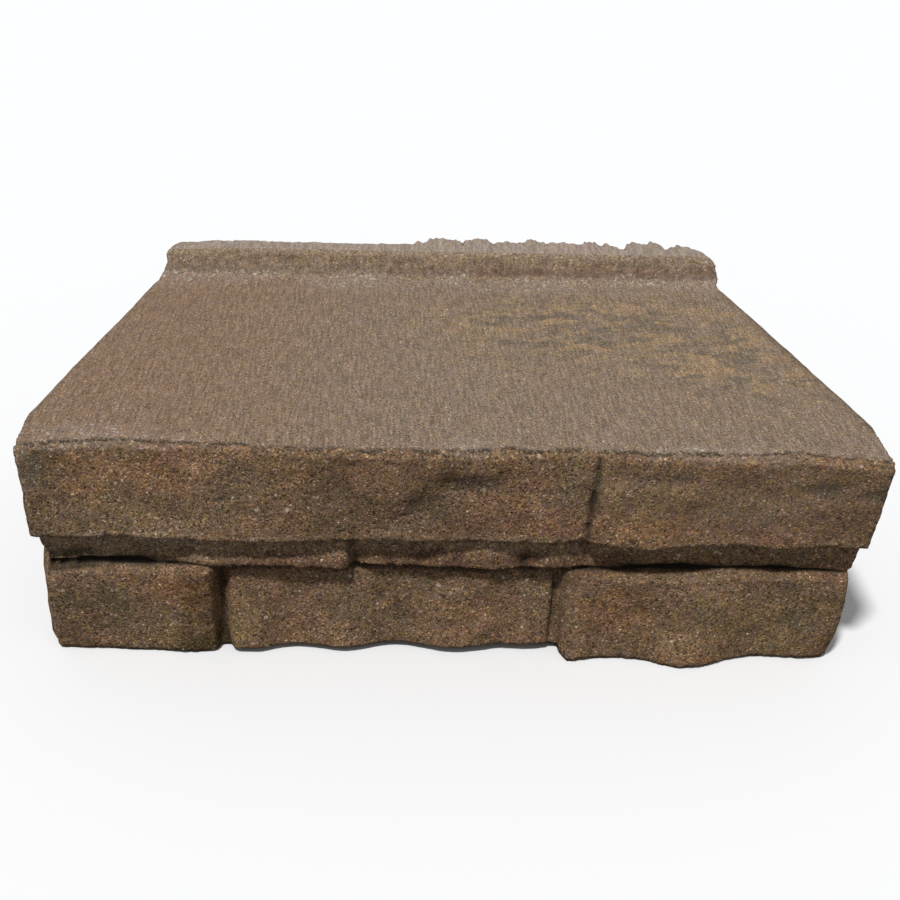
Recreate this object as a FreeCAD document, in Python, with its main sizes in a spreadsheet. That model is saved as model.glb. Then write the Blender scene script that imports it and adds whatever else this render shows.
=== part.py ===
"""Concrete retaining wall block with a rear lip, cast in one piece.

The block lies as it is stacked for storage: flat bed down, lip up, rough face towards -Y.
The face is cast as three courses of flat stones with open joints between them.
Units are millimetres. The origin is under the middle of the block, on its bed.
"""

import FreeCAD
import Part
import os

import Sketcher

NODE = "wall_block"

# Driving dimensions, one sheet cell each.
SIZES = {
    # Whole block
    "face_width": 295.0,        # across the parallel sides behind the face
    "rear_width": 235.0,        # across the back, the sides taper to it
    "block_depth": 180.0,       # foremost stone to back
    "straight_side": 31.0,      # foremost stone to the start of the taper
    "body_height": 89.0,        # bed to the flat top
    # Rear lip
    "lip_height": 12.5,
    "lip_thickness": 13.5,
    "lip_end_slope": 4.0,       # how far each end of the lip leans in from its base to its top
    "lip_base_radius": 7.0,
    "lip_edge_radius": 2.5,
    # Courses of the face, from the bed up: the top course takes what is left
    "low_course": 38.0,
    "thin_course": 13.0,
    # How far each stone stands behind the foremost point of the face
    "low_left_setback": 14.0,
    "low_middle_setback": 20.5,
    "low_right_setback": 11.0,
    "thin_left_setback": 13.5,
    "thin_right_setback": 13.5,
    "top_left_setback": 8.5,
    "top_right_setback": 5.0,
    # Upright joints between stones: where each joint's middle meets the course's lower edge (foot)
    # and upper edge (head), its width, and the reach of the rounded stone corners beside it
    "low_first_foot": -82.0,
    "low_first_head": -83.5,
    "low_first_gap": 4.0,
    "low_first_round": 4.0,
    "low_second_foot": 39.0,
    "low_second_head": 38.5,
    "low_second_gap": 2.0,
    "low_second_round": 8.0,
    "thin_joint_foot": -35.0,
    "thin_joint_head": -36.0,
    "thin_joint_gap": 3.0,
    "thin_joint_round": 3.0,
    "top_joint_foot": 46.4,
    "top_joint_head": 48.6,
    "top_joint_gap": 1.6,
    "top_joint_round": 1.5,
    "joint_depth": 1.8,         # root of a joint behind the face of its deeper stone
    # Ends of the courses, inside the block's width
    "low_end_inset": 4.5,
    "thin_left_foot_inset": 4.0,
    "thin_left_head_inset": 3.0,
    "thin_right_foot_inset": 3.0,
    "thin_right_head_inset": 1.0,
    "top_left_foot_inset": 1.0,
    "top_right_foot_inset": 0.9,
    "top_head_inset": 0.0,
    # Edges of the stones
    "corner_round": 3.0,        # reach of the rounded corners at the two ends of the face
    "low_right_foot_round": 7.0,    # the same at the right end of the face, on the floor
    "arris": 1.3,               # height of the broken edge along a stone's bed
    "bed_cut": 4.0,             # how far the edges along a bed joint fall back
    "floor_cut": 2.0,           # how far the edge on the floor falls back
    "brow_cut": 0.8,            # how far the edge under the flat top falls back
}

# Swell of each stone's face along its length, left to right, as millimetres behind its setback:
# "foot" along its lower edge and "head" along its upper edge, at evenly spaced places.
STONES = {
    "low_left": {
        "foot": [3.5, 3.0, 2.5, 2.0, 0.5, 1.5],
        "head": [-3.0, -1.5, -1.0, -1.5, -2.0, -2.5],
    },
    "low_middle": {
        "foot": [-2.5, -4.0, 2.0, 0.0, -3.5, 2.5, 3.0, -2.0, -2.5, 2.0, 0.0, 0.5],
        "head": [0.0, -1.0, 1.0, 0.5, -1.0, 0.5, 0.0, 1.0, -1.0, -1.0, 0.5, 0.5],
    },
    "low_right": {
        "foot": [-1.5, 0.5, 1.5, 1.0, -7.0, -2.0, 3.0, 3.0, 0.5, 1.5],
        "head": [0.0, -0.5, -2.5, -4.0, -2.5, -1.0, -1.0, -1.0, -1.5, -2.0],
    },
    "thin_left": {
        "foot": [-0.5, 2.0, 4.0, 2.5, 0.0, -1.5, -1.5, -2.5],
        "head": [0.0, 1.5, 2.5, 1.0, 0.0, -0.5, 0.5, -1.0],
    },
    "thin_right": {
        "foot": [0.5, 0.0, -2.0, -4.0, -2.5, 0.0, 2.0, 2.5, 2.0, 2.5, 1.0, -0.5],
        "head": [0.5, 0.5, -0.5, -1.5, -1.0, 0.5, 2.0, 2.5, 2.0, 1.5, 1.0, 0.0],
    },
    "top_left": {
        "foot": [1.0, 1.5, 1.5, 0.5, -0.5, -0.5, 0.5, -0.5, 2.5, -1.0, 1.0],
        "head": [-2.0, 4.0, 2.0, 1.5, 0.0, -2.5, -2.0, -4.5, -1.0, -0.5, -0.5],
    },
    "top_right": {
        "foot": [2.5, -1.5, 0.5, 3.5, -0.5, 2.5, 1.0],
        "head": [2.0, -1.5, 2.0, -1.0, 1.0, -2.5, -5.0],
    },
}

# Height of the bed joint under the top course.
TOP_BED = "sizes.low_course + sizes.thin_course"

# Courses from the bed up: stones from left to right and the joints between them, and for the lower and
# the upper edge its height, the cut of its broken edge, and the inset and round of its left and right end.
COURSES = {
    "low": {
        "stones": ["low_left", "low_middle", "low_right"],
        "joints": ["low_first", "low_second"],
        "foot": {
            "height": "0",
            "cut": "floor_cut",
            "insets": ["low_end_inset", "low_end_inset"],
            "rounds": ["corner_round", "low_right_foot_round"],
        },
        "head": {
            "height": "sizes.low_course",
            "cut": "bed_cut",
            "insets": ["low_end_inset", "low_end_inset"],
            "rounds": ["corner_round", "corner_round"],
        },
    },
    "thin": {
        "stones": ["thin_left", "thin_right"],
        "joints": ["thin_joint"],
        "foot": {
            "height": "sizes.low_course",
            "cut": "bed_cut",
            "insets": ["thin_left_foot_inset", "thin_right_foot_inset"],
            "rounds": ["corner_round", "corner_round"],
        },
        "head": {
            "height": TOP_BED,
            "cut": "bed_cut",
            "insets": ["thin_left_head_inset", "thin_right_head_inset"],
            "rounds": ["corner_round", "corner_round"],
        },
    },
    "top": {
        "stones": ["top_left", "top_right"],
        "joints": ["top_joint"],
        "foot": {
            "height": TOP_BED,
            "cut": "bed_cut",
            "insets": ["top_left_foot_inset", "top_right_foot_inset"],
            "rounds": ["corner_round", "corner_round"],
        },
        "head": {
            "height": "sizes.body_height",
            "cut": "brow_cut",
            "insets": ["top_head_inset", "top_head_inset"],
            "rounds": ["corner_round", "corner_round"],
        },
    },
}

PLAN = "XY_Plane"
FRONT = "XZ_Plane"     # looks along -Y: a positive offset goes towards the rough face
SPLINE_DEGREE = 3
RIGHT = FreeCAD.Vector(1, 0, 0)
UP = FreeCAD.Vector(0, 0, 1)
TOUCH = 1e-4


def make_sheet(doc):
    """The spreadsheet of driving dimensions, one aliased cell each."""
    sheet = doc.addObject("Spreadsheet::Sheet", "sizes")
    for row, (alias, value) in enumerate(SIZES.items(), start=1):
        sheet.set(f"A{row}", alias)
        sheet.set(f"B{row}", str(value))
        sheet.setAlias(f"B{row}", alias)
    doc.recompute()
    return sheet


def flat_sketch(body, name, plane, offset):
    """An empty sketch parallel to an origin plane, shifted off it by an offset given as an expression."""
    sketch = body.newObject("Sketcher::SketchObject", name)
    support = next(f for f in body.Origin.OriginFeatures if f.Role == plane)
    sketch.AttachmentSupport = [(support, "")]
    sketch.MapMode = "FlatFace"
    sketch.setExpression("AttachmentOffset.Base.z", offset)
    return sketch


def pin(sketch, geometry, end, point):
    """Hold a point of the sketch at its two expressions, measured from the sketch's origin."""
    for direction, expression in zip(("DistanceX", "DistanceY"), point):
        index = sketch.addConstraint(Sketcher.Constraint(direction, -1, 1, geometry, end, 0.0))
        sketch.setExpression(f"Constraints[{index}]", expression)


def add_line(sketch):
    """A straight edge, drawn anywhere: its ends are held later by pin or close_outline."""
    return sketch.addGeometry(Part.LineSegment(FreeCAD.Vector(), RIGHT))


def add_wave(sketch, poles):
    """A smooth edge drawn by its poles, each pole pinned to its expressions."""
    points = [RIGHT * order for order in range(len(poles))]
    handles = [sketch.addGeometry(Part.Circle(point, UP, 1.0), True) for point in points]
    curve = Part.BSplineCurve(points, None, None, False, SPLINE_DEGREE, None, False)
    wave = sketch.addGeometry(curve)
    for order, (handle, pole) in enumerate(zip(handles, poles)):
        kind = "InternalAlignment:Sketcher::BSplineControlPoint"
        sketch.addConstraint(Sketcher.Constraint(kind, handle, 3, wave, order))
        pin(sketch, handle, 3, pole)
    return wave


def close_outline(sketch, edges):
    """Tie each edge's end to the next edge's start, round to the first."""
    for edge, following in zip(edges, edges[1:] + edges[:1]):
        sketch.addConstraint(Sketcher.Constraint("Coincident", edge, 2, following, 1))


def polygon_sketch(body, name, plane, offset, corners):
    """A closed outline of straight edges with every corner pinned."""
    sketch = flat_sketch(body, name, plane, offset)
    edges = [add_line(sketch) for _ in corners]
    close_outline(sketch, edges)
    for edge, corner in zip(edges, corners):
        pin(sketch, edge, 1, corner)
    return sketch


def pad(body, name, sketch, length):
    """A sketch raised by a length given as an expression."""
    feature = body.newObject("PartDesign::Pad", name)
    feature.Profile = sketch
    feature.setExpression("Length", length)
    body.Document.recompute()


def loft(body, name, sections):
    """Straight-sided solid from sketch to sketch."""
    body.Document.recompute()
    feature = body.newObject("PartDesign::AdditiveLoft", name)
    feature.Profile = sections[0]
    feature.Sections = sections[1:]
    feature.Ruled = True
    body.Document.recompute()


def fillet(body, name, radius, wanted):
    """Round the edges of the body so far that the test picks."""
    base = body.Tip
    picked = [f"Edge{i}" for i, edge in enumerate(base.Shape.Edges, start=1) if wanted(edge.BoundBox)]
    feature = body.newObject("PartDesign::Fillet", name)
    feature.Base = (base, picked)
    feature.setExpression("Radius", radius)
    body.Document.recompute()


def behind_face(distance):
    """Y of a point that lies this far behind the foremost point of the face."""
    return f"{distance} - sizes.block_depth / 2"


def make_core(body):
    """The tapered body behind the face."""
    start_of_taper = behind_face("sizes.straight_side")
    corners = [
        ("-sizes.face_width / 2", start_of_taper),
        ("sizes.face_width / 2", start_of_taper),
        ("sizes.rear_width / 2", "sizes.block_depth / 2"),
        ("-sizes.rear_width / 2", "sizes.block_depth / 2"),
    ]
    pad(body, "core", polygon_sketch(body, "core_plan", PLAN, "0", corners), "sizes.body_height")


def lip_section(body, name, y):
    """The lip seen from the front at a depth: it fills the block's width there and its ends lean in."""
    flare = "(sizes.face_width - sizes.rear_width) / 2 / (sizes.block_depth - sizes.straight_side)"
    half = f"(sizes.rear_width / 2 + {flare} * (sizes.block_depth / 2 - ({y})))"
    top = "sizes.body_height + sizes.lip_height"
    corners = [
        (f"-{half}", "sizes.body_height"),
        (half, "sizes.body_height"),
        (f"{half} - sizes.lip_end_slope", top),
        (f"sizes.lip_end_slope - {half}", top),
    ]
    return polygon_sketch(body, name, FRONT, f"-({y})", corners)


def make_lip(body, sheet):
    """The lip along the back, swept into the top by a hollow curve, with rounded upper edges."""
    front = lip_section(body, "lip_front", "sizes.block_depth / 2 - sizes.lip_thickness")
    back = lip_section(body, "lip_back", "sizes.block_depth / 2")
    loft(body, "lip", [front, back])

    lip_front = sheet.block_depth / 2 - sheet.lip_thickness
    lip_top = sheet.body_height + sheet.lip_height

    def at_base(box):
        level = abs(box.ZMin - sheet.body_height) < TOUCH and box.ZLength < TOUCH
        return level and abs(box.YMin - lip_front) < TOUCH and box.YLength < TOUCH

    def at_top(box):
        return abs(box.ZMin - lip_top) < TOUCH

    fillet(body, "lip_sweep", "sizes.lip_base_radius", at_base)
    fillet(body, "lip_edges", "sizes.lip_edge_radius", at_top)


def lay_out(course, edge, cut):
    """Each stone of a course at one level: its two ends in X, their corner reach, and its depths."""
    left_inset, right_inset = course[edge]["insets"]
    left_round, right_round = course[edge]["rounds"]
    joints = course["joints"]
    starts = [f"sizes.{left_inset} - sizes.face_width / 2"]
    starts += [f"sizes.{joint}_{edge} + sizes.{joint}_gap / 2" for joint in joints]
    stops = [f"sizes.{joint}_{edge} - sizes.{joint}_gap / 2" for joint in joints]
    stops += [f"sizes.face_width / 2 - sizes.{right_inset}"]
    rounds = [left_round] + [f"{joint}_round" for joint in joints] + [right_round]
    layout = []
    for order, stone in enumerate(course["stones"]):
        depths = [f"(sizes.{stone}_setback + {cut} + ({swell}))" for swell in STONES[stone][edge]]
        layout.append({
            "left": starts[order],
            "right": stops[order],
            "left_reach": f"sizes.{rounds[order]}",
            "right_reach": f"sizes.{rounds[order + 1]}",
            "depths": depths,
        })
    return layout


def joint_root(before, after):
    """The bottom of the joint between two stones: midway, and behind the deeper of their faces."""
    middle = f"({before['right']} + {after['left']}) / 2"
    depth = f"max({before['depths'][-1]}; {after['depths'][0]}) + sizes.joint_depth"
    return middle, depth


def stone_poles(stone, left_root, right_root):
    """Poles of a stone's face: round out of its left end, along the swell, and round its right end."""
    left, right, depths = stone["left"], stone["right"], stone["depths"]
    start, stop = depths[0], depths[-1]
    inner_left = f"{left} + {stone['left_reach']}"
    inner_right = f"{right} - {stone['right_reach']}"
    left_corner = f"{start} + {stone['left_reach']}"
    right_corner = f"{stop} + {stone['right_reach']}"
    if left_root:
        left_corner = f"min({left_corner}; {left_root[1]})"
    if right_root:
        right_corner = f"min({right_corner}; {right_root[1]})"
    spans = len(depths) - 1
    swell = [
        (f"{left} + ({right} - ({left})) * {k} / {spans}", behind_face(depths[k]))
        for k in range(1, spans)
    ]
    return [
        (left, behind_face(left_corner)),
        (left, behind_face(start)),
        (inner_left, behind_face(start)),
        *swell,
        (inner_right, behind_face(stop)),
        (right, behind_face(stop)),
        (right, behind_face(right_corner)),
    ]


def course_section(body, name, course, height, edge, cut):
    """One level of a course in plan: its stones' faces, the joints between them and the straight sides."""
    sketch = flat_sketch(body, name, PLAN, height)
    back_left = ("-sizes.face_width / 2", behind_face("sizes.straight_side"))
    back_right = ("sizes.face_width / 2", behind_face("sizes.straight_side"))
    stones = lay_out(course, edge, cut)
    roots = [joint_root(before, after) for before, after in zip(stones, stones[1:])]
    faces = [
        stone_poles(stone, left_root, right_root)
        for stone, left_root, right_root in zip(stones, [None] + roots, roots + [None])
    ]

    edges = [add_line(sketch)]
    pin(sketch, edges[0], 1, back_left)
    edges.append(add_wave(sketch, faces[0]))
    for (x, depth), face in zip(roots, faces[1:]):
        edges.append(add_line(sketch))
        edges.append(add_line(sketch))
        pin(sketch, edges[-1], 1, (x, behind_face(depth)))
        edges.append(add_wave(sketch, face))
    edges.append(add_line(sketch))
    edges.append(add_line(sketch))
    pin(sketch, edges[-1], 1, back_right)
    close_outline(sketch, edges)
    return sketch


def make_course(body, name, course):
    """A course of stones, lofted from its bed to its top with broken upper and lower edges."""
    foot, head = course["foot"], course["head"]
    levels = [
        (foot["height"], "foot", f"sizes.{foot['cut']}"),
        (f"{foot['height']} + sizes.arris", "foot", "0"),
        (f"{head['height']} - sizes.arris", "head", "0"),
        (head["height"], "head", f"sizes.{head['cut']}"),
    ]
    sections = [
        course_section(body, f"{name}_level_{k}", course, height, edge, cut)
        for k, (height, edge, cut) in enumerate(levels, start=1)
    ]
    loft(body, f"{name}_course", sections)


def check(doc, body):
    """Stop if any object failed, a step of the body is not valid, or the block is not one solid."""
    for item in doc.Objects:
        if "Invalid" in item.State or "Error" in item.State:
            raise RuntimeError(f"{item.Name} failed: {item.State}")
    for step in body.Group:
        if step.Shape.isNull() or not step.Shape.isValid():
            raise RuntimeError(f"{step.Name} has no valid shape")
    if len(body.Shape.Solids) != 1:
        raise RuntimeError(f"{body.Label} is not one solid")


def main():
    doc = FreeCAD.newDocument("retaining_wall_block")
    sheet = make_sheet(doc)
    body = doc.addObject("PartDesign::Body", NODE)
    body.Label = NODE
    make_core(body)
    make_lip(body, sheet)
    for name, course in COURSES.items():
        make_course(body, name, course)
    doc.recompute()
    check(doc, body)
    os.makedirs("parts", exist_ok=True)
    body.Shape.exportStep(os.path.join("parts", f"{body.Label}.step"))
    box = body.Shape.optimalBoundingBox(False, False)
    print(f"{body.Label}: {box.XLength:.1f} x {box.YLength:.1f} x {box.ZLength:.1f} mm, "
          f"{body.Shape.Volume / 1e6:.3f} litres")


main()
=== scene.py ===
import bpy
import bmesh
import math
import numpy as np
from mathutils import Euler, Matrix, Quaternion, Vector, noise


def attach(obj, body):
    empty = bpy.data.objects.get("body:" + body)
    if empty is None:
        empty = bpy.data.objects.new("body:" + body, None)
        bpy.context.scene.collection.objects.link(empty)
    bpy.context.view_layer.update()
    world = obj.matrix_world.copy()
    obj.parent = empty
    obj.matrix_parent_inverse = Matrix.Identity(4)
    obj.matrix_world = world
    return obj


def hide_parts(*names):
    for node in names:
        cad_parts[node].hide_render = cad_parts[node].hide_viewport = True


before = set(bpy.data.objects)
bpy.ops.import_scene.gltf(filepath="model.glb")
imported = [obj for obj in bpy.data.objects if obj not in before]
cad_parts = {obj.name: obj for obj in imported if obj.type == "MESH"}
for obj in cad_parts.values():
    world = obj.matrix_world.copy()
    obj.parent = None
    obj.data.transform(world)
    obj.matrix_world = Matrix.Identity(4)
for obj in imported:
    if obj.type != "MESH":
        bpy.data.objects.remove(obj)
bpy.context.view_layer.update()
mm = 0.001

# Camera, at the photograph's viewing angle
cameraView = {
    "place": (-27.2 * mm, -486.5 * mm, 304.5 * mm),
    "lookDown": 27.99,    # degrees below the horizon
    "turnRight": 3.43,
    "roll": 2.23,
    "lens": 54.94,
    "sensor": 36.0,
    "nearest": 10 * mm,
}


def makeCamera():
    data = bpy.data.cameras.new("photoCamera")
    data.sensor_width = cameraView["sensor"]
    data.lens = cameraView["lens"]
    data.clip_start = cameraView["nearest"]
    camera = bpy.data.objects.new("photoCamera", data)
    bpy.context.scene.collection.objects.link(camera)
    camera.location = cameraView["place"]
    camera.rotation_mode = "QUATERNION"
    aim = Euler((math.radians(90 - cameraView["lookDown"]), 0, -math.radians(cameraView["turnRight"])))
    roll = Quaternion((0, 0, 1), math.radians(cameraView["roll"]))
    camera.rotation_quaternion = aim.to_quaternion() @ roll
    bpy.context.scene.camera = camera
    print("camera made")


# Node helpers
def addNode(tree, kind, settings=None, **values):
    node = tree.nodes.new(kind)
    for name, value in (settings or {}).items():
        setattr(node, name, value)
    for name, value in values.items():
        feed(tree, node.inputs[name], value)
    return node


def feed(tree, socket, value):
    # a socket takes another node's output or a plain value
    if isinstance(value, bpy.types.NodeSocket):
        tree.links.new(value, socket)
    else:
        socket.default_value = value


def doMath(tree, operation, first, second=0.0, third=0.0):
    node = tree.nodes.new("ShaderNodeMath")
    node.operation = operation
    for socket, value in zip(node.inputs, (first, second, third)):
        feed(tree, socket, value)
    return node.outputs[0]


def chained(tree, operation, result, *others):
    for other in others:
        result = doMath(tree, operation, result, other)
    return result


def product(tree, *factors):
    return chained(tree, "MULTIPLY", *factors)


def largest(tree, *values):
    return chained(tree, "MAXIMUM", *values)


def ramp(tree, value, low, high, toLow=0.0, toHigh=1.0):
    node = addNode(tree, "ShaderNodeMapRange", {"interpolation_type": "SMOOTHSTEP"}, Value=value)
    for name, setting in (("From Min", low), ("From Max", high), ("To Min", toLow), ("To Max", toHigh)):
        feed(tree, node.inputs[name], setting)
    return node.outputs[0]


def mixColour(tree, share, first, second, blend="MIX"):
    node = tree.nodes.new("ShaderNodeMix")
    node.data_type = "RGBA"
    node.blend_type = blend
    feed(tree, node.inputs[0], share)
    feed(tree, node.inputs[6], first)
    feed(tree, node.inputs[7], second)
    return node.outputs[2]


# Light and stage
stageLook = {
    "sunHeight": 61.0,     # degrees above the horizon
    "sunLeft": 25.0,       # degrees to the left of the face's own direction
    "sunSoftness": 6.0,    # angle of the source, degrees
    "sunStrength": 2.52,
    "fill": 0.33,
    "fillColour": (0.95, 0.97, 1.0, 1),
    "floorSize": 6.0,
    "floorSeen": 0.97,     # the floor's shade to the camera
    "floorBounce": 0.12,   # and its shade as a reflector of light
}


def makeStage():
    scene = bpy.context.scene
    scene.view_settings.view_transform = "Standard"
    lamp = bpy.data.lights.new("keySun", "SUN")
    lamp.energy = stageLook["sunStrength"]
    lamp.angle = math.radians(stageLook["sunSoftness"])
    sun = bpy.data.objects.new("keySun", lamp)
    scene.collection.objects.link(sun)
    height, left = math.radians(stageLook["sunHeight"]), math.radians(stageLook["sunLeft"])
    level = math.cos(height)
    toSun = Vector((-math.sin(left) * level, -math.cos(left) * level, math.sin(height)))
    sun.rotation_mode = "QUATERNION"
    sun.rotation_quaternion = toSun.to_track_quat("Z", "Y")

    world = bpy.data.worlds.new("studio")
    scene.world = world
    world.use_nodes = True
    tree = world.node_tree
    tree.nodes.clear()
    fill = addNode(tree, "ShaderNodeBackground", Color=stageLook["fillColour"], Strength=stageLook["fill"])
    white = addNode(tree, "ShaderNodeBackground", Color=(1, 1, 1, 1), Strength=1.0)
    rays = tree.nodes.new("ShaderNodeLightPath")
    kinds = ("Is Camera Ray", "Is Glossy Ray", "Is Transmission Ray")
    seen = largest(tree, *(rays.outputs[kind] for kind in kinds))
    mix = tree.nodes.new("ShaderNodeMixShader")
    feed(tree, mix.inputs[0], seen)
    feed(tree, mix.inputs[1], fill.outputs[0])
    feed(tree, mix.inputs[2], white.outputs[0])
    addNode(tree, "ShaderNodeOutputWorld", Surface=mix.outputs[0])

    bm = bmesh.new()
    bmesh.ops.create_grid(bm, x_segments=1, y_segments=1, size=stageLook["floorSize"] / 2)
    mesh = bpy.data.meshes.new("floor")
    bm.to_mesh(mesh)
    bm.free()
    floor = bpy.data.objects.new("floor", mesh)
    scene.collection.objects.link(floor)
    look = bpy.data.materials.new("paleFloor")
    look.use_nodes = True
    tree = look.node_tree
    shader = tree.nodes["Principled BSDF"]
    shader.inputs["Roughness"].default_value = 1.0
    shader.inputs["Specular IOR Level"].default_value = 0.0
    rays = tree.nodes.new("ShaderNodeLightPath")
    shades = [(stageLook[name],) * 3 + (1,) for name in ("floorBounce", "floorSeen")]
    feed(tree, shader.inputs["Base Color"], mixColour(tree, rays.outputs["Is Camera Ray"], *shades))
    mesh.materials.append(look)
    print("stage made")


# Relief of the block. Lengths are in millimetres here, as in the drawing of the part.
blockShape = {
    "voxel": 0.75,            # even mesh that the relief is cut into
    "triangles": 190000,
    "thinning": (1.0, 0.9, 0.3),   # how readily points go: on the bed, on plain surfaces and elsewhere
    "faceEnd": -60.0,         # where the rough face ends, behind its ends
    "bodyHeight": 89.0,
    # relief as pairs of height and size of the bumps
    "faceRelief": [(0.8, 30.0), (0.6, 12.0), (0.22, 5.0), (0.13, 1.8)],
    "sideRelief": [(0.4, 34.0), (0.2, 8.0), (0.1, 2.0)],
    "seatRelief": [(0.12, 45.0), (0.03, 2.5)],
    "lipRelief": [(0.5, 9.0), (0.4, 3.2), (0.2, 1.7)],
    "pitSize": 1.35,
    "pitDepth": 0.9,
    "chipSize": 1.8,
    "chipDepth": 0.75,
    # front edge of the seat
    "shoulder": (2.4, 3.2),   # depth and height of its rounding
    "shoulderMore": 1.0,      # added to the depth at the right end
    "shoulderWaves": [(1.6, 13.0), (0.6, 3.5)],   # height and size of the waves in the depth
    "seamWidth": (1.5, 1.0),  # seam behind the rounding, and how much its width varies
    "seamDepth": 0.9,
    # low stones
    "lowCourse": 38.0,        # height of the joint above them
    "gapeDepth": 1.5,         # depth of that joint where it gapes
    "lowMiddle": (-81.0, 38.0),      # middle stone: from and to in x
    "lowSwell": (3.2, 4.3),          # its swell at the left and at the right
    "lowSwellTurn": (-15.0, 5.0),    # between these places one turns into the other
    "lowJoint": (35.5, 42.0, 2.4),   # joint at its right end: from and to in x, depth
    "softRounds": 36,         # how far the stone beyond that joint is softened
    "footIn": 1.8,            # the foot of the right end draws in
    # lip
    "lipFront": 72.0,
    "lipFoot": 90.5,
    "lipRightOut": (2.4, 1.3),       # its right end stands out, and more so at the top
    "lipRightDown": 2.6,
    "lipLeftOut": 1.4,
    "lipLeftDown": 0.9,
    "flash": (-9.0, 100.0),          # flash of its rear edge: from and to in x
    "flashReach": (0.0, 2.6, 1.7),
    "notches": [(79.0, 2.0), (98.0, 3.0)],   # places and widths of notches in the flash
}

# Dents and lumps of the moulded stones: from and to in x and z, reach, and depth (lumps below 0)
stoneForms = [
    ((-22, 60), (-12, 66), 6.0, 0.8),     # slanted valley of the long top stone
    ((-14, 66), (-2, 77), 4.5, 1.2),
    ((0, 73), (16, 77), 4.0, 0.9),        # its side branch
    ((-6, 82), (20, 84), 5.0, -0.5),
    ((-40, 80), (-34, 58), 7.0, 1.3),
    ((-26, 74), (-22, 68), 6.0, -0.7),
    ((20, 64), (30, 60), 8.0, -0.6),
    ((-110, 66), (-96, 60), 7.0, 0.7),
    ((54, 80.5), (80, 79), 2.8, 0.7),     # ledge of the right top stone
    ((92, 76), (112, 73), 4.5, 0.6),
    ((78, 62), (86, 68), 5.0, 0.5),
    ((122, 76), (133, 78.5), 2.6, 0.6),   # its two creases
    ((138, 75), (143, 76.5), 2.2, 0.5),
    ((126, 71), (138, 68), 5.0, -0.6),
    ((-33, 46), (50, 46), 3.4, 0.7),      # hollow upper parts of the thin stones
    ((-30, 43), (-12, 44), 3.6, 0.6),
    ((25, 43), (27, 47), 2.6, 0.7),
    ((4, 42), (28, 42), 5.0, 1.7),
    ((48, 42), (62, 42), 5.0, 1.0),
    ((-112, 46), (-40, 46), 3.0, 0.7),
    ((-142, 42), (-98, 42), 4.5, 1.9),    # set back at the left end, between the bulges and on the right
    ((-150, 41), (-128, 42), 3.2, 1.4),
    ((-94, 44), (-60, 44), 3.0, 0.8),
    ((-33, 42), (-31, 42), 2.4, 1.0),
    ((-12, 42), (-9, 43), 2.4, 1.1),
    ((25, 41), (26, 43), 2.0, 1.0),
    ((48.2, 81), (46.6, 54), 1.5, 0.4),   # upright joint of the top stones
    ((-25, 23), (-17, 13), 3.4, 0.9),     # low middle stone
    ((2, 12), (12, 20), 6.0, 0.6),
    ((70, 22), (90, 14), 7.0, 0.8),       # low right stone
    ((112, 10), (128, 20), 6.0, 0.6),
]

# Where the face is full of open pits: centre in x and z, reach
pitFields = [
    ((-55, 63), 9), ((-75, 62), 7), ((-97, 62), 8), ((-60, 78), 5), ((-92, 27), 8), ((-88, 17), 6),
    ((-15, 64), 8), ((-1, 76), 5), ((52, 22), 9), ((56, 10), 8), ((72, 58), 8), ((110, 60), 9),
]

# Where the joint above the low stones gapes: from and to in x, and how high
openJoints = [(-141, -97, 1.3), (52, 98, 1.1), (102, 130, 1.2), (-165, 165, 0.55)]


def castCopy(node):
    bm = bmesh.new()
    bm.from_mesh(node.data)
    bmesh.ops.remove_doubles(bm, verts=bm.verts, dist=0.001 * mm)
    mesh = bpy.data.meshes.new("castCopy")
    bm.to_mesh(mesh)
    bm.free()
    obj = bpy.data.objects.new("castCopy", mesh)
    bpy.context.scene.collection.objects.link(obj)
    remesh = obj.modifiers.new("even", "REMESH")
    remesh.mode = "VOXEL"
    remesh.voxel_size = blockShape["voxel"] * mm
    return obj


def bakeModifiers(obj, name):
    graph = bpy.context.evaluated_depsgraph_get()
    mesh = bpy.data.meshes.new_from_object(obj.evaluated_get(graph))
    mesh.name = name
    bpy.data.objects.remove(obj)
    return mesh


def readVectors(items, name):
    flat = np.empty(len(items) * 3, dtype=np.float32)
    items.foreach_get(name, flat)
    return flat.reshape(-1, 3).astype(float)


def calmed(mesh, points, rounds):
    # every point moved to the middle of its neighbours, again and again
    ends = np.empty(len(mesh.edges) * 2, dtype=np.int32)
    mesh.edges.foreach_get("vertices", ends)
    first, second = ends[0::2], ends[1::2]
    count = len(points)
    friends = np.bincount(first, minlength=count) + np.bincount(second, minlength=count)
    for _ in range(rounds):
        sums = [np.bincount(first, points[second, k], count) + np.bincount(second, points[first, k], count)
                for k in range(3)]
        points = np.stack(sums, axis=1) / friends[:, None]
    return points


def swellOf(mesh, points, normals, rounds):
    # how far each point stands out from its surroundings: edges are above 0, hollows below
    return ((points - calmed(mesh, points, rounds)) * normals).sum(axis=1)


def bumps(points, size, seed):
    # smooth noise around 0, which every seed reads at another place
    shift = Vector((17.3, 5.1, 9.7)) * seed
    return np.array([noise.noise(Vector(p) + shift) for p in points / size])


def step(values, low, high):
    t = np.clip((values - low) / (high - low), 0, 1)
    return t * t * (3 - 2 * t)


def alongLine(x, z, start, stop):
    # distance of points of the face from a line on it
    start, stop = np.array(start, float), np.array(stop, float)
    span = stop - start
    t = np.clip(((x - start[0]) * span[0] + (z - start[1]) * span[1]) / max(span @ span, 1e-9), 0, 1)
    return np.hypot(x - start[0] - t * span[0], z - start[1] - t * span[1])


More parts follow.
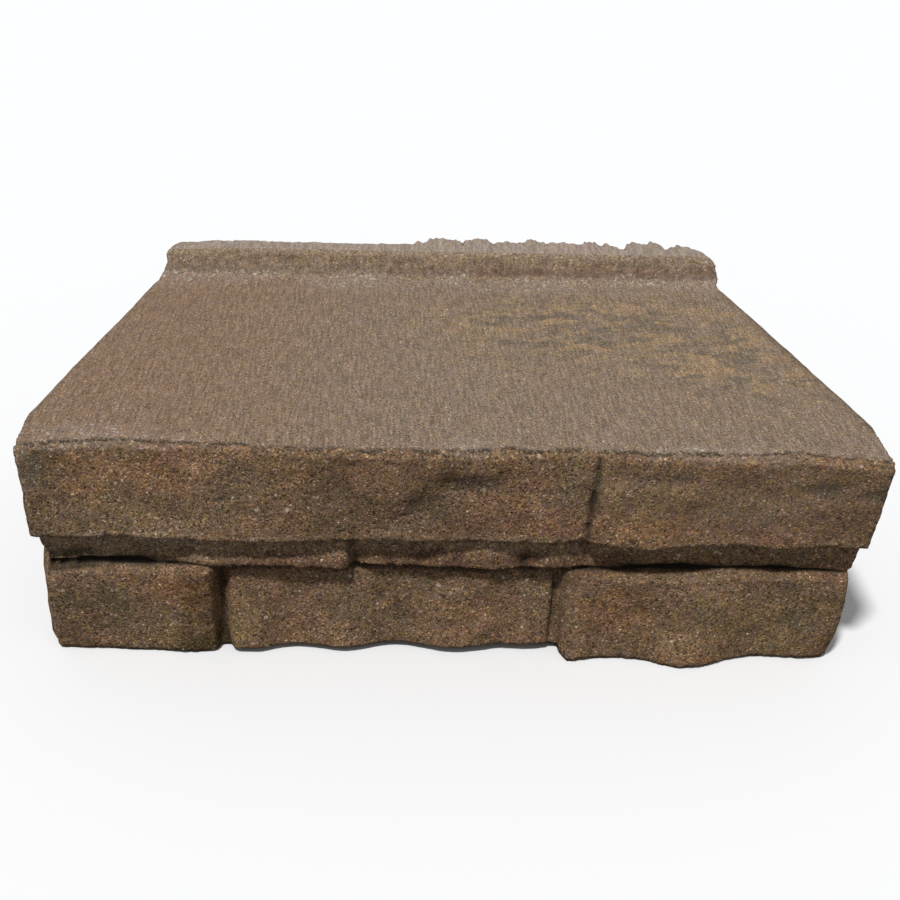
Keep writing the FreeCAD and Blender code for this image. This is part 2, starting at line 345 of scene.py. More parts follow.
def frontLine(x, y, chosen):
    # how far forward the chosen points of the face reach, along its length
    half, spacing, spread = 150.0, 2.0, 5
    places = np.arange(-half, half + 0.1, spacing)
    slots = np.rint((x[chosen] + half) / spacing).astype(int)
    reach = np.full(len(places), 0.0)
    np.minimum.at(reach, slots, y[chosen])
    known = reach < -50.0
    reach = np.interp(places, places[known], reach[known])
    padded = np.pad(reach, spread // 2, mode="edge")
    return np.interp(x, places, np.convolve(padded, np.full(spread, 1 / spread), mode="valid"))


def writeLayer(mesh, name, values):
    layer = mesh.attributes.new(name, "FLOAT", "POINT")
    layer.data.foreach_set("value", values.astype(np.float32))


def shapeLowStones(mesh, points, given, face, gape):
    shape = blockShape
    x, y, z = given.T
    joint = shape["lowCourse"]
    inFront = y < shape["faceEnd"]

    # the middle stone bulges forward above its foot
    start, stop = shape["lowMiddle"]
    left, right = shape["lowSwell"]
    swell = left + (right - left) * step(x, *shape["lowSwellTurn"])
    swell = swell * step(z / swell, 0.35, 0.85) * (1 - step(z, joint - 2.2, joint - 0.6))
    swell *= face * step(x, start, start + 2.5) * (1 - step(x, stop - 2, stop))
    points[:, 1] -= swell
    inside = (x > start + 6) & (x < stop - 5) & (z > 8) & (z < joint - 8)
    front = frontLine(x, points[:, 1], inFront & inside)

    # the joint at its right end is filled, and the end of the next stone softened
    start, stop, deep = shape["lowJoint"]
    floor = front + deep * (1 - step(x, start + 3, stop)) + 0.4 * bumps(points, 3.0, 46)
    filled = (x > start) & (x < stop) & (z > 2.0) & (z < joint - 2) & (points[:, 1] > floor) & inFront
    points[filled, 1] = floor[filled]
    soft = step(x, start + 2.0, start + 4.0) * (1 - step(x, stop + 4.5, stop + 7.5)) * inFront
    soft *= step(z, 3.0, 6.0) * (1 - step(z, joint - 6.0, joint - 3.0))
    points += soft[:, None] * (calmed(mesh, points, shape["softRounds"]) - points)

    points[:, 1] += shape["gapeDepth"] * gape
    points[:, 0] -= shape["footIn"] * step(x, 118.0, 126.0) * face * (1 - step(z, 1.0, 18.0))


def roundFrontEdge(points, given, behind, depth):
    y, z = given[:, 1:].T
    height = blockShape["shoulder"][1]
    fromTop = blockShape["bodyHeight"] - z
    inner = np.stack([(depth - behind) / depth, (height - fromTop) / height], axis=1)
    length = np.hypot(inner[:, 0], inner[:, 1])
    outside = (inner > 0).all(axis=1) & (length > 1) & (y < blockShape["faceEnd"])
    back = inner[outside] * (1 - 1 / length[outside])[:, None]
    points[outside, 1] += back[:, 0] * depth[outside]
    points[outside, 2] -= back[:, 1] * height


def shapeLip(points, given):
    # squarer ends, which are a little lower than the middle
    shape = blockShape
    x, y, z = given.T
    onLip, crown = step(y, 67.0, 75.0), step(z, 95.0, 100.0)
    rightEnd = step(x, 106.0, 118.0) * onLip * step(z, 89.2, 92.5)
    out, more = shape["lipRightOut"]
    points[:, 0] += (out + more * step(z, 96.0, 100.0)) * rightEnd
    points[:, 2] -= shape["lipRightDown"] * rightEnd * step(x, 105.0, 120.0) * crown
    points[:, 2] -= shape["lipLeftDown"] * step(-x, 96.0, 108.0) * onLip * crown
    points[:, 0] -= shape["lipLeftOut"] * step(-x, 100.0, 111.0) * onLip * step(z, 94.0, 99.0)

    # torn rear edge, with a flash on the right and wear on the left
    rear = step(y, 81.0, 89.0) * step(z, 93.0, 100.0)
    picked = rear > 0.01
    along = x[picked]
    line = np.stack([along, 0 * along, 0.4 * z[picked]], axis=1)
    torn = 0.6 * bumps(line, 11.0, 51) + 0.5 * step(bumps(line, 4.5, 52), -0.12, 0.06) - 0.25
    torn += 0.45 * bumps(line, 1.7, 53)
    start, stop = shape["flash"]
    flash = step(along, start - 5, start) * (1 - step(along, stop, stop + 18)) * (0.75 + 0.75 * torn)
    flash += 0.18 * torn - 0.25
    for notch, wide in shape["notches"]:
        flash -= 0.55 * np.exp(-((along - notch) / wide) ** 2)
    points[picked] += np.outer(rear[picked] * flash, shape["flashReach"])


def cutRelief(mesh):
    shape = blockShape
    given = readVectors(mesh.vertices, "co") / mm
    normals = readVectors(mesh.vertex_normals, "vector")
    x, y, z = given.T
    top, joint = shape["bodyHeight"], shape["lowCourse"]
    edge = step(swellOf(mesh, given, normals, 10), 0.1, 0.5)

    # how far points lie behind the front of the top stones, and how deep the rounding of its edge is
    behind = y - frontLine(x, y, (y < shape["faceEnd"]) & (z > top - 9) & (z < top - 3))
    along = np.stack([x, 0 * x, 0 * x], axis=1)
    depth = shape["shoulder"][0] + shape["shoulderMore"] * step(x, 40.0, 130.0)
    for (tall, size), seed in zip(shape["shoulderWaves"], (61, 64)):
        depth = depth + tall * bumps(along, size, seed)

    # zones: rough face, struck top surfaces, bed, lip's front, and the plain sides and back
    flatTop = step(normals[:, 2], 0.75, 0.95) * step(z, top - 2.5, top - 1)
    flatTop *= step(behind, depth - 0.5, depth + 0.3)
    bed = step(-normals[:, 2], 0.75, 0.95) * step(-z, -1.5, -0.5)
    face = step(-y, -shape["faceEnd"] - 6, -shape["faceEnd"] + 3) * (1 - flatTop) * (1 - bed)
    front, foot = shape["lipFront"], shape["lipFoot"]
    lip = step(y, front, front + 3) * step(z, foot, foot + 2) * (1 - flatTop)
    lip = lip * step(-normals[:, 1], 0.1, 0.5)
    side = (1 - face) * (1 - flatTop) * (1 - bed)
    move = np.zeros(len(given))

    def relief(rows, where, seed):
        picked = where > 0.01
        for order, (tall, size) in enumerate(rows):
            move[picked] += tall * where[picked] * bumps(given[picked], size, seed + order)

    calm = step(bumps(given, 40.0, 9), -0.35, 0.35)
    relief(shape["faceRelief"], face * (0.6 + 0.6 * calm), 1)
    relief(shape["sideRelief"], side, 11)
    relief(shape["seatRelief"], flatTop, 21)
    relief(shape["lipRelief"], lip, 26)
    for start, stop, reach, deep in stoneForms:
        move -= deep * face * np.exp(-(alongLine(x, z, start, stop) / reach) ** 2)

    # open pits, most of them in clusters
    where = face + 0.5 * side + 0.5 * lip
    picked = where > 0.05
    crowd = 0.35 * bumps(given[picked], 17.0, 32)
    for centre, reach in pitFields:
        crowd += 0.4 * np.exp(-(alongLine(x[picked], z[picked], centre, centre) / reach) ** 2)
    nearSeam = np.exp(-((behind - depth + 0.6)[picked] / 1.6) ** 2)
    crowd += 0.55 * nearSeam * step(z[picked], top - 4, top - 2)
    spots = bumps(given[picked], shape["pitSize"], 31)
    move[picked] -= shape["pitDepth"] * where[picked] * step(spots, 0.62 - 0.6 * crowd, 0.95 - 0.3 * crowd)

    # worn edges, rougher around the face and along the lip
    picked = edge > 0.05
    chips = bumps(given[picked], shape["chipSize"], 41) + 0.6 * bumps(given[picked], 7.0, 42)
    wear = edge * (1 - bed) * (0.35 + 0.65 * face + 0.5 * step(z, 94.0, 97.0))
    move[picked] -= shape["chipDepth"] * wear[picked] * step(chips, -0.2, 0.7)

    # gaping joint above the low stones, under the thin ones
    high = np.zeros(len(given))
    for start, stop, tall in openJoints:
        high = np.maximum(high, tall * step(x, start, start + 16) * (1 - step(x, stop - 16, stop)))
    high = joint + high * (1 + 0.5 * bumps(given, 7.0, 45))
    gape = face * step(z, joint - 0.1, joint + 0.4) * (1 - step(z - high, -0.5, 0.7))

    # seam where the rounded front edge meets the seat
    ragged = bumps(given, 1.7, 62) + 0.5 * bumps(given, 9.0, 63)
    width, varied = shape["seamWidth"]
    seam = np.exp(-((behind - depth - 0.2) / (width + varied * ragged)) ** 2) * step(z, top - 2.5, top - 1)
    seam *= step(ragged, -0.65, 0.1)
    move -= shape["seamDepth"] * seam

    points = given + normals * move[:, None]
    shapeLowStones(mesh, points, given, face, gape)
    roundFrontEdge(points, given, behind, depth)
    shapeLip(points, given)
    points[:, 2] = np.where(bed > 0.5, 0.0, np.maximum(points[:, 2], 0.0))
    mesh.vertices.foreach_set("co", (points * mm).astype(np.float32).ravel())
    zones = (("stoneFace", face), ("flatTop", flatTop), ("lipFront", lip), ("seam", seam), ("gape", gape))
    for name, values in zones:
        writeLayer(mesh, name, values)
    mesh.update()


def thin(mesh):
    # the plain surfaces lose most of their points, the rough face, its seam and the lip's front the fewest
    obj = bpy.data.objects.new("reliefCopy", mesh)
    bpy.context.scene.collection.objects.link(obj)
    y, z = readVectors(mesh.vertices, "co")[:, 1:].T / mm
    bed = z < 0.2
    plain = (y > -66.0) & ((z < 88.0) | (y < 68.0)) & ~bed
    group = obj.vertex_groups.new(name="thin")
    for chosen, weight in zip((bed, plain, ~(bed | plain)), blockShape["thinning"]):
        group.add(np.flatnonzero(chosen).tolist(), weight, "REPLACE")
    triangles = sum(len(p.vertices) - 2 for p in mesh.polygons)
    decimate = obj.modifiers.new("thin", "DECIMATE")
    decimate.ratio = min(1.0, blockShape["triangles"] / triangles)
    decimate.vertex_group = group.name
    decimate.vertex_group_factor = 1000.0
    return bakeModifiers(obj, "stonefaceBlock")


def markHollows(mesh):
    # wide hollows and small pits, for the painted shade in them
    points = readVectors(mesh.vertices, "co") / mm
    normals = readVectors(mesh.vertex_normals, "vector")
    for name, rounds, low, high in (("hollow", 60, 0.25, 1.6), ("pit", 5, 0.06, 0.4)):
        writeLayer(mesh, name, step(-swellOf(mesh, points, normals, rounds), low, high))


# Look of the concrete. Lengths in millimetres, colours linear.
concreteLook = {
    # sand grains against the paste around them: the share where each colour starts, and the colour
    "sand": [
        (0.000, (0.16, 0.15, 0.14)),
        (0.040, (0.42, 0.39, 0.36)),
        (0.110, (0.64, 0.60, 0.57)),
        (0.250, (0.85, 0.82, 0.80)),
        (0.500, (1.05, 1.02, 0.98)),
        (0.720, (0.95, 1.05, 1.10)),
        (0.820, (1.38, 1.27, 1.10)),
        (0.920, (1.75, 1.68, 1.50)),
        (0.975, (2.10, 2.20, 2.30)),
        (0.993, (2.90, 3.30, 3.80)),
    ],
    "grainSize": 0.68,
    "fineGrains": 0.55,    # size of the fine grains as a share of that
    "cloudSize": 24.0,     # broad and middling changes of tone
    "patchSize": 6.0,
    "raggedSize": 8.0,     # size and strength of the ragged borders of stains
    "ragged": 2.8,
    "tintSize": 2.6,
    "tint": (0.36, 0.12, 1.00),   # how far red, green and blue wander in small patches
    "pebbles": [           # pebbles that show on the face
        (0.00, (0.36, 0.25, 0.13)),
        (0.30, (0.36, 0.29, 0.20)),
        (0.45, (0.60, 0.50, 0.38)),
        (0.68, (0.38, 0.19, 0.09)),
        (0.85, (0.48, 0.36, 0.24)),
    ],
    "pebbleSpacing": (4.5, 2.7),
    "pebbleShares": [(0.30, 0.75), (0.10, 0.36)],   # for both spacings: on the right and at the left end
    "pebbleStrength": 0.85,
    "faceOlive": (0.258, 0.179, 0.114),
    "faceBrown": (0.268, 0.175, 0.109),
    "faceRed": (0.288, 0.178, 0.110),
    "faceGrains": 0.78,    # how strongly single grains show
    "calmGrains": 0.62,    # and on the right top stone, with its centre and reach
    "calmStone": ((105, -80, 72), (62, 40, 26)),
    "browShade": 0.82,     # the rounded front edge is darker, and the bed joint gets painted shade
    "bedShade": 0.75,
    "seatTaupe": (0.256, 0.191, 0.140),
    "seatRed": (0.250, 0.170, 0.118),
    "seatOchre": (0.338, 0.234, 0.140),
    "seatCharcoal": (0.164, 0.133, 0.102),
    "seatGrains": 0.84,
    "seatZones": [((66, 24, 89), (80, 44, 20)), ((112, -4, 89), (44, 44, 20))],   # of ochre and charcoal
    "seatStains": 0.85,
    "seatTint": 0.55,
    "dragStretch": 0.09,   # drag marks, drawn out along their run
    "dragShade": (0.82, 1.18),
    "seatDrag": 1.5,       # how much stronger they are on the seat
    "sideBrown": (0.262, 0.192, 0.136),
    "sideGrains": 0.62,
    "lipTop": (0.335, 0.268, 0.220),
    "lipFront": (0.298, 0.226, 0.162),
    "lipRed": (0.256, 0.168, 0.122),
    "lipGrains": 0.5,
    "lipShade": (0.100, 0.072, 0.052),   # shade in the hollow at the lip's foot
    "lipShading": 0.24,
    # painted shade: its colours, and how strongly it lies in hollows, pits, the seam and gaping joints
    "crevice": (0.030, 0.024, 0.015),
    "gap": (0.012, 0.010, 0.007),
    "hollowShade": 0.65,
    "pitShade": (0.75, 0.35),   # on the block and on the lip's front
    "seamShade": 0.9,
    "gapShade": 0.95,
    "salt": (0.66, 0.62, 0.58),
    "saltSize": 1.6,
    "saltHaze": 0.09,      # between the specks
    "saltStrength": 0.75,
    "saltPatches": [       # white salts along the front edge and on the lip: centre and reach
        ((-124, -78, 88.5), (30, 12, 3)),
        ((4, -80, 88.5), (8, 9, 2.5)),
        ((88, -84, 88.5), (24, 9, 2.5)),
        ((-143, -80, 80), (6, 20, 9)),
        ((-72, 88, 101), (48, 5, 4)),
        ((92, 74, 90), (34, 6, 4)),
    ],
    "roughness": (0.86, 0.98),
    "bumpHeight": 0.14,
    "smoothBump": 0.45,    # share of the bumps away from the rough face
    "specular": 0.12,
}

# Stains, and painted light and shade: centre, reach, colour and strength
faceStainsAndShading = [
    ((-140, -80, 82), (8, 40, 6), (0.075, 0.072, 0.040), 0.8),    # dark corner at the left end
    ((-120, -80, 78), (26, 40, 12), (0.335, 0.195, 0.110), 0.6),
    ((-104, -80, 62), (10, 40, 6), (0.310, 0.225, 0.120), 0.3),
    ((47.3, -80, 73), (2.6, 40, 13), (0.130, 0.102, 0.070), 0.4),   # shade of the upright joint
    ((28, -80, 60), (28, 40, 9), (0.300, 0.165, 0.110), 0.6),     # reddish foot of the top stones
    ((64, -80, 58), (18, 40, 10), (0.330, 0.185, 0.095), 0.6),
    ((110, -80, 56), (26, 40, 6), (0.300, 0.165, 0.110), 0.45),
    ((70, -80, 70), (20, 40, 8), (0.295, 0.215, 0.112), 0.3),
    ((7, -80, 76), (10, 40, 4), (0.120, 0.105, 0.080), 0.55),     # painted shade in the valleys, the creases and under the ledge
    ((-9, -80, 67), (12, 40, 8), (0.125, 0.102, 0.076), 0.55),
    ((-41, -80, 68), (15, 40, 14), (0.165, 0.125, 0.085), 0.5),
    ((128, -80, 77), (9, 40, 3), (0.120, 0.100, 0.075), 0.6),
    ((143, -80, 76), (6, 40, 2.5), (0.120, 0.100, 0.075), 0.6),
    ((70, -80, 79.5), (15, 40, 2.5), (0.160, 0.120, 0.090), 0.5),
    ((0, -70, 49), (300, 40, 6), (0.400, 0.285, 0.188), 0.7),     # thin stones, painted paler above to lift the shade cast by the top stones
    ((-112, -70, 45), (45, 40, 9), (0.385, 0.292, 0.200), 0.8),
    ((-60, -70, 40), (34, 40, 4.5), (0.160, 0.094, 0.060), 0.9),  # and painted shade on their sunlit feet and at the left end
    ((12, -70, 41), (50, 40, 5.5), (0.145, 0.086, 0.055), 0.95),
    ((-140, -70, 42), (15, 40, 3.0), (0.140, 0.115, 0.085), 0.55),
    ((-96, -72, 29), (13, 40, 8), (0.340, 0.165, 0.078), 0.5),    # low left stone
    ((-90, -72, 3), (13, 40, 8), (0.085, 0.064, 0.026), 0.8),
    ((-88, -72, 20), (10, 40, 18), (0.180, 0.110, 0.055), 0.6),
    ((-122, -72, 24), (9, 40, 9), (0.170, 0.130, 0.090), 0.4),
    ((-103, -72, 8), (8, 40, 6), (0.340, 0.230, 0.110), 0.5),
    ((-76, -68, 9), (4, 40, 8), (0.370, 0.260, 0.120), 0.6),      # low middle stone
    ((-20, -68, 16), (5, 40, 4), (0.130, 0.105, 0.075), 0.6),
    ((57, -74, 24), (16, 40, 15), (0.320, 0.175, 0.097), 0.5),    # low right stone
    ((110, -74, 17), (36, 40, 13), (0.290, 0.210, 0.108), 0.45),
    ((128, -74, 18), (9, 40, 6), (0.150, 0.125, 0.090), 0.6),
    ((92, -74, 22), (7, 40, 5), (0.170, 0.135, 0.090), 0.5),
]


def newGroup(name, inputs, outputs):
    group = bpy.data.node_groups.new(name, "ShaderNodeTree")
    for title, kind in inputs:
        group.interface.new_socket(name=title, in_out="INPUT", socket_type="NodeSocket" + kind)
    for title, kind in outputs:
        group.interface.new_socket(name=title, in_out="OUTPUT", socket_type="NodeSocket" + kind)
    return group, group.nodes.new("NodeGroupInput"), group.nodes.new("NodeGroupOutput")


def placeGroup(tree, group, **values):
    node = tree.nodes.new("ShaderNodeGroup")
    node.node_tree = group
    for name, value in values.items():
        feed(tree, node.inputs[name], value)
    return node


def noiseAt(tree, place, size, detail=2.0, roughness=0.5):
    node = addNode(tree, "ShaderNodeTexNoise", Vector=place, Scale=1.0 / size, Detail=detail)
    node.inputs["Roughness"].default_value = roughness
    return node.outputs[0]


def mixValue(tree, share, first, second):
    return addNode(tree, "ShaderNodeMix", Factor=share, A=first, B=second).outputs[0]


def colourList(tree, choice, rows):
    # one of several colours, by a number from 0 to 1
    node = tree.nodes.new("ShaderNodeValToRGB")
    node.color_ramp.interpolation = "CONSTANT"
    stops = node.color_ramp.elements
    while len(stops) < len(rows):
        stops.new(1.0)
    for stop, (start, colour) in zip(stops, rows):
        stop.position = start
        stop.color = (*colour, 1)
    feed(tree, node.inputs[0], choice)
    return node.outputs[0]


def sandGroup():
    # sand in the mix: every grain gets a colour of its own from the list
    tree, given, out = newGroup("sandGrains", [("Place", "Vector"), ("Size", "Float")],
                                [("Colour", "Color"), ("Height", "Float")])
    scale = doMath(tree, "DIVIDE", 1.0, given.outputs["Size"])
    cells = addNode(tree, "ShaderNodeTexVoronoi", Vector=given.outputs["Place"], Scale=scale)
    pick = addNode(tree, "ShaderNodeSeparateColor", Color=cells.outputs["Color"])
    feed(tree, out.inputs["Colour"], colourList(tree, pick.outputs[0], concreteLook["sand"]))
    dome = ramp(tree, cells.outputs["Distance"], 0.1, 0.75, 1.0, 0.0)
    feed(tree, out.inputs["Height"], doMath(tree, "MULTIPLY", dome, pick.outputs[1]))
    return tree


def pebbleGroup():
    # scattered pebbles in some of the cells
    tree, given, out = newGroup("pebbles", [("Place", "Vector"), ("Spacing", "Float"), ("Share", "Float")],
                                [("Colour", "Color"), ("Mask", "Float")])
    scale = doMath(tree, "DIVIDE", 1.0, given.outputs["Spacing"])
    wobble = addNode(tree, "ShaderNodeTexNoise", Vector=given.outputs["Place"], Scale=0.9, Detail=1.0)
    bent = addNode(tree, "ShaderNodeVectorMath", {"operation": "MULTIPLY_ADD"})
    feed(tree, bent.inputs[0], wobble.outputs["Color"])
    feed(tree, bent.inputs[1], (1.1, 1.1, 1.1))
    feed(tree, bent.inputs[2], given.outputs["Place"])
    cells = addNode(tree, "ShaderNodeTexVoronoi", Vector=bent.outputs[0], Scale=scale)
    pick = addNode(tree, "ShaderNodeSeparateColor", Color=cells.outputs["Color"])
    reach = doMath(tree, "MULTIPLY_ADD", pick.outputs[1], 0.12, 0.08)
    inside = ramp(tree, doMath(tree, "DIVIDE", cells.outputs["Distance"], reach), 0.8, 1.05, 1.0, 0.0)
    chosen = doMath(tree, "LESS_THAN", pick.outputs[0], given.outputs["Share"])
    feed(tree, out.inputs["Colour"], colourList(tree, pick.outputs[2], concreteLook["pebbles"]))
    feed(tree, out.inputs["Mask"], doMath(tree, "MULTIPLY", inside, chosen))
    return tree


def stainGroup():
    # soft patch with a ragged border
    tree, given, out = newGroup("stain", [("Place", "Vector"), ("Centre", "Vector"), ("Reach", "Vector"),
                                          ("Ragged", "Float")], [("Mask", "Float")])
    offset = addNode(tree, "ShaderNodeVectorMath", {"operation": "SUBTRACT"})
    feed(tree, offset.inputs[0], given.outputs["Place"])
    feed(tree, offset.inputs[1], given.outputs["Centre"])
    share = addNode(tree, "ShaderNodeVectorMath", {"operation": "DIVIDE"})
    feed(tree, share.inputs[0], offset.outputs[0])
    feed(tree, share.inputs[1], given.outputs["Reach"])
    length = addNode(tree, "ShaderNodeVectorMath", {"operation": "LENGTH"})
    feed(tree, length.inputs[0], share.outputs[0])
    away = doMath(tree, "ADD", length.outputs["Value"], given.outputs["Ragged"])
    feed(tree, out.inputs["Mask"], ramp(tree, away, 0.3, 1.3, 1.0, 0.0))
    return tree


def castConcrete():
    look = bpy.data.materials.new("castConcrete")
    look.use_nodes = True
    tree = look.node_tree
    shader = tree.nodes["Principled BSDF"]
    values = concreteLook

    def layer(name):
        return addNode(tree, "ShaderNodeAttribute", {"attribute_name": name}).outputs["Fac"]

    def plain(name):
        return (*values[name], 1)

    def grainy(colour, strength, sizes):
        # multiplies a colour by the colours of the grains
        for size in sizes:
            colour = mixColour(tree, strength, colour, size.outputs["Colour"], "MULTIPLY")
        return colour

    def scaled(colour, factor):
        node = addNode(tree, "ShaderNodeVectorMath", {"operation": "SCALE"}, Vector=colour, Scale=factor)
        return node.outputs[0]

    face, flatTop, lip, seam = (layer(name) for name in ("stoneFace", "flatTop", "lipFront", "seam"))
    hollow, pit, gape = (layer(name) for name in ("hollow", "pit", "gape"))
    local = tree.nodes.new("ShaderNodeTexCoord").outputs["Object"]
    place = addNode(tree, "ShaderNodeMapping", Vector=local, Scale=(1 / mm, 1 / mm, 1 / mm)).outputs[0]
    x, y, z = addNode(tree, "ShaderNodeSeparateXYZ", Vector=place).outputs
    sand, stain, pebbles = sandGroup(), stainGroup(), pebbleGroup()
    coarse = placeGroup(tree, sand, Place=place, Size=values["grainSize"])
    fine = placeGroup(tree, sand, Place=place, Size=values["grainSize"] * values["fineGrains"])

    wander = addNode(tree, "ShaderNodeTexNoise", Vector=place, Scale=1.0 / values["tintSize"], Detail=3.0)
    hues = addNode(tree, "ShaderNodeVectorMath", {"operation": "MULTIPLY_ADD"})
    feed(tree, hues.inputs[0], wander.outputs["Color"])
    feed(tree, hues.inputs[1], values["tint"])
    feed(tree, hues.inputs[2], [1 - 0.5 * share for share in values["tint"]])

    broad = noiseAt(tree, place, values["cloudSize"], 2.0)
    middle = noiseAt(tree, place, values["patchSize"], 4.0, 0.65)
    small = noiseAt(tree, place, values["saltSize"], 2.0)
    ragged = noiseAt(tree, place, values["raggedSize"], 5.0, 0.7)
    ragged = doMath(tree, "MULTIPLY_ADD", ragged, values["ragged"], -0.5 * values["ragged"])

    def patch(centre, reach):
        node = placeGroup(tree, stain, Place=place, Centre=centre, Reach=reach, Ragged=ragged)
        return node.outputs["Mask"]

    def stretched(*scale):
        return addNode(tree, "ShaderNodeMapping", Vector=place, Scale=scale).outputs[0]

    # rough face
    tone = mixColour(tree, ramp(tree, broad, 0.35, 0.52), plain("faceOlive"), plain("faceBrown"))
    tone = mixColour(tree, ramp(tree, broad, 0.5, 0.68), tone, plain("faceRed"))
    for centre, reach, tint, strength in faceStainsAndShading:
        tone = mixColour(tree, product(tree, patch(centre, reach), strength), tone, (*tint, 1))
    calmer = patch(*values["calmStone"])
    strength = ramp(tree, calmer, 0.0, 1.0, values["faceGrains"], values["calmGrains"])
    faceColour = grainy(tone, strength, (coarse, fine))
    faceColour = mixColour(tree, 1.0, faceColour, hues.outputs[0], "MULTIPLY")
    for spacing, shares in zip(values["pebbleSpacing"], values["pebbleShares"]):
        share = ramp(tree, x, -30.0, -130.0, *shares)
        stones = placeGroup(tree, pebbles, Place=place, Spacing=spacing, Share=share)
        mask = product(tree, stones.outputs["Mask"], values["pebbleStrength"])
        faceColour = mixColour(tree, mask, faceColour, stones.outputs["Colour"])

    # smooth seat, dragged from front to back when it was struck off, and sides dragged by the mould
    squeeze = values["dragStretch"]
    backward, upright = stretched(1.0, squeeze, 1.0), stretched(1.0, 1.0, squeeze)
    more = values["seatDrag"]
    drag = doMath(tree, "MULTIPLY_ADD", noiseAt(tree, backward, 1.0, 3.0, 0.6), more, 0.5 - 0.5 * more)
    drag = mixValue(tree, flatTop, noiseAt(tree, upright, 1.8, 4.0, 0.65), drag)
    drawn = stretched(0.55, 1.0, 1.0)
    mottle = noiseAt(tree, drawn, 10.0, 6.0, 0.68)
    blotch = noiseAt(tree, drawn, 6.5, 5.0, 0.7)
    seatTone = mixColour(tree, ramp(tree, x, 0.0, -110.0), plain("seatTaupe"), plain("seatRed"))
    zone = largest(tree, *(patch(*spot) for spot in values["seatZones"]))
    ochre = product(tree, zone, ramp(tree, mottle, 0.43, 0.56), values["seatStains"])
    seatTone = mixColour(tree, ochre, seatTone, plain("seatOchre"))
    charcoal = product(tree, zone, ramp(tree, blotch, 0.48, 0.58), values["seatStains"])
    seatTone = mixColour(tree, charcoal, seatTone, plain("seatCharcoal"))
    seatColour = grainy(seatTone, values["seatGrains"], (fine,))
    sideColour = grainy(plain("sideBrown"), values["sideGrains"], (coarse, fine))
    seatColour = mixColour(tree, flatTop, sideColour, seatColour)

    # lip: pale smooth top, rough front with a red foot on the right
    lipColour = mixColour(tree, ramp(tree, z, 97.0, 92.5), plain("lipFront"), plain("lipRed"))
    lipColour = mixColour(tree, ramp(tree, x, -30.0, 25.0), plain("lipFront"), lipColour)
    lipColour = grainy(lipColour, values["lipGrains"], (coarse, fine))
    # painted light and shade down the lip's front: darker at its foot, lighter above, a little less at the
    # top edge
    lighter = product(tree, ramp(tree, z, 92.0, 95.5, 0.9, 1.22), ramp(tree, z, 98.0, 101.0, 1.0, 0.84))
    lipColour = scaled(lipColour, lighter)
    capped = product(tree, flatTop, ramp(tree, z, 95.0, 97.0))
    seatColour = mixColour(tree, capped, seatColour, grainy(plain("lipTop"), values["lipGrains"], (fine,)))
    seatColour = mixColour(tree, lip, seatColour, lipColour)
    bands = ramp(tree, z, 90.8, 92.0), ramp(tree, z, 96.0, 93.5), ramp(tree, y, 84.0, 80.0)
    fillet = product(tree, *bands, values["lipShading"])
    seatColour = mixColour(tree, fillet, seatColour, plain("lipShade"))

    # face and smooth surfaces together, shaded at the front edge, in the bed joint and by the drag marks
    seatColour = mixColour(tree, values["seatTint"], seatColour, hues.outputs[0], "MULTIPLY")
    colour = mixColour(tree, face, seatColour, faceColour)
    brow = ramp(tree, z, 85.0, 88.5, 1.0, values["browShade"])
    rough = product(tree, ramp(tree, middle, 0.25, 0.75, 0.8, 1.2), brow)
    # painted shade along the bed joint above the low stones, over their sunlit ledge
    bedJoint = product(tree, ramp(tree, z, 34.0, 36.2), ramp(tree, z, 41.0, 39.5))
    rough = product(tree, rough, ramp(tree, bedJoint, 0.0, 1.0, 1.0, values["bedShade"]))
    shade = mixValue(tree, face, ramp(tree, drag, 0.3, 0.7, *values["dragShade"]), rough)
    colour = scaled(colour, shade)

    # white salts along the foot of the lip, on its top and along the front edge
    specks = ramp(tree, small, 0.60, 0.74, values["saltHaze"], 1.0)
    foot = product(tree, ramp(tree, y, 56.0, 72.0), ramp(tree, y, 82.0, 76.0), ramp(tree, z, 95.0, 91.0))
    foot = product(tree, foot, ramp(tree, broad, 0.42, 0.58, 0.2, 1.0))
    brink = product(tree, ramp(tree, broad, 0.56, 0.66, 0.0, 0.6), ramp(tree, z, 86.0, 88.0))
    brink = product(tree, brink, ramp(tree, y, -64.0, -74.0))
    spots = (patch(*spot) for spot in values["saltPatches"])
    salt = product(tree, largest(tree, foot, brink, *spots), specks, values["saltStrength"])
    colour = mixColour(tree, salt, colour, plain("salt"))

    # painted shade in the crevices and pits, in the seam under the seat and in gaping joints
    inHollows = product(tree, hollow, face, values["hollowShade"])
    inPits = product(tree, pit, ramp(tree, lip, 0.0, 1.0, *values["pitShade"]))
    spotted = ramp(tree, noiseAt(tree, place, 0.9, 1.0), 0.38, 0.56, 0.3, 1.0)
    inSeam = product(tree, ramp(tree, seam, 0.2, 0.95, 0.0, values["seamShade"]), spotted)
    colour = mixColour(tree, largest(tree, inHollows, inPits, inSeam), colour, plain("crevice"))
    colour = mixColour(tree, ramp(tree, gape, 0.1, 0.75, 0.0, values["gapShade"]), colour, plain("gap"))

    feed(tree, shader.inputs["Base Color"], colour)
    feed(tree, shader.inputs["Roughness"], ramp(tree, middle, 0.3, 0.7, *values["roughness"]))
    height = doMath(tree, "MULTIPLY_ADD", fine.outputs["Height"], 0.5, coarse.outputs["Height"])
    strength = mixValue(tree, face, values["smoothBump"], 1.0)
    bump = addNode(tree, "ShaderNodeBump", Strength=1.0, Distance=values["bumpHeight"] * mm)
    feed(tree, bump.inputs["Height"], product(tree, height, strength))
    feed(tree, shader.inputs["Normal"], bump.outputs[0])
    shader.inputs["Specular IOR Level"].default_value = values["specular"]
    return look


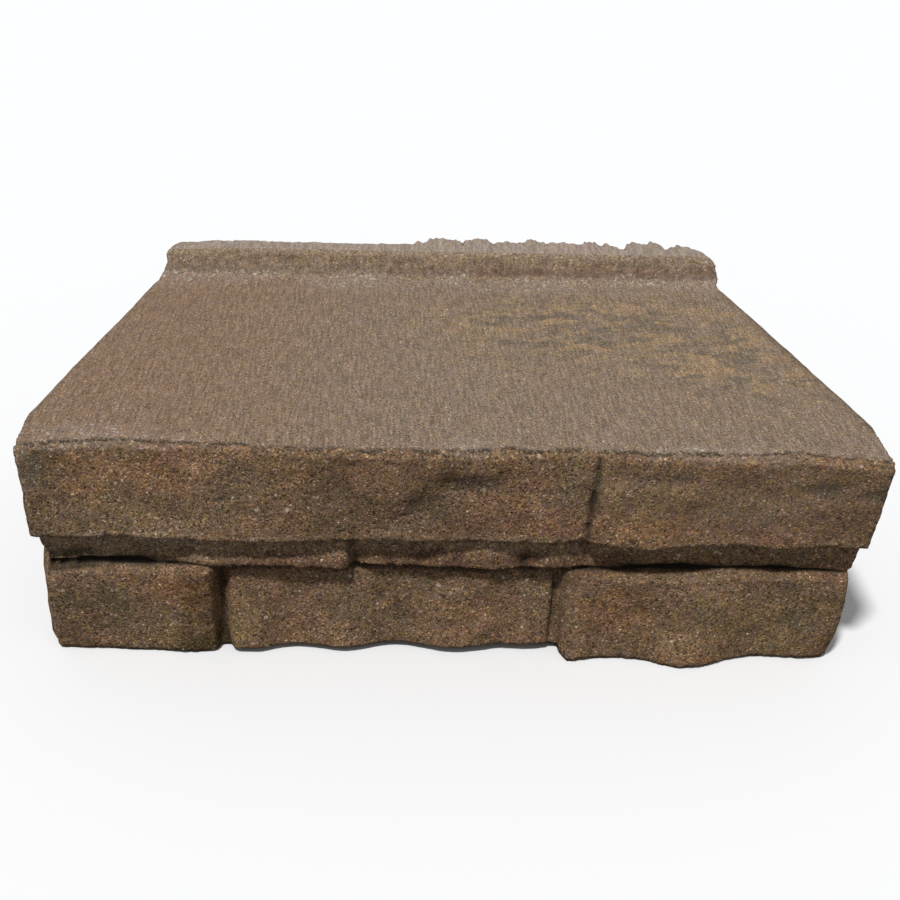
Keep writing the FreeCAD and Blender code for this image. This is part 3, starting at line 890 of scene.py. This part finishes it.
def makeBlock():
    even = bakeModifiers(castCopy(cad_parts["wall_block"]), "evenBlock")
    print("even mesh:", len(even.vertices), "points")
    cutRelief(even)
    print("relief cut")
    markHollows(even)
    mesh = thin(even)
    block = bpy.data.objects.new("stonefaceBlock", mesh)
    bpy.context.scene.collection.objects.link(block)
    mesh.polygons.foreach_set("use_smooth", [True] * len(mesh.polygons))
    mesh.materials.clear()
    mesh.materials.append(castConcrete())
    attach(block, "root")
    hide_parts("wall_block")
    print("block made:", len(mesh.polygons), "faces")


makeCamera()
makeStage()
makeBlock()
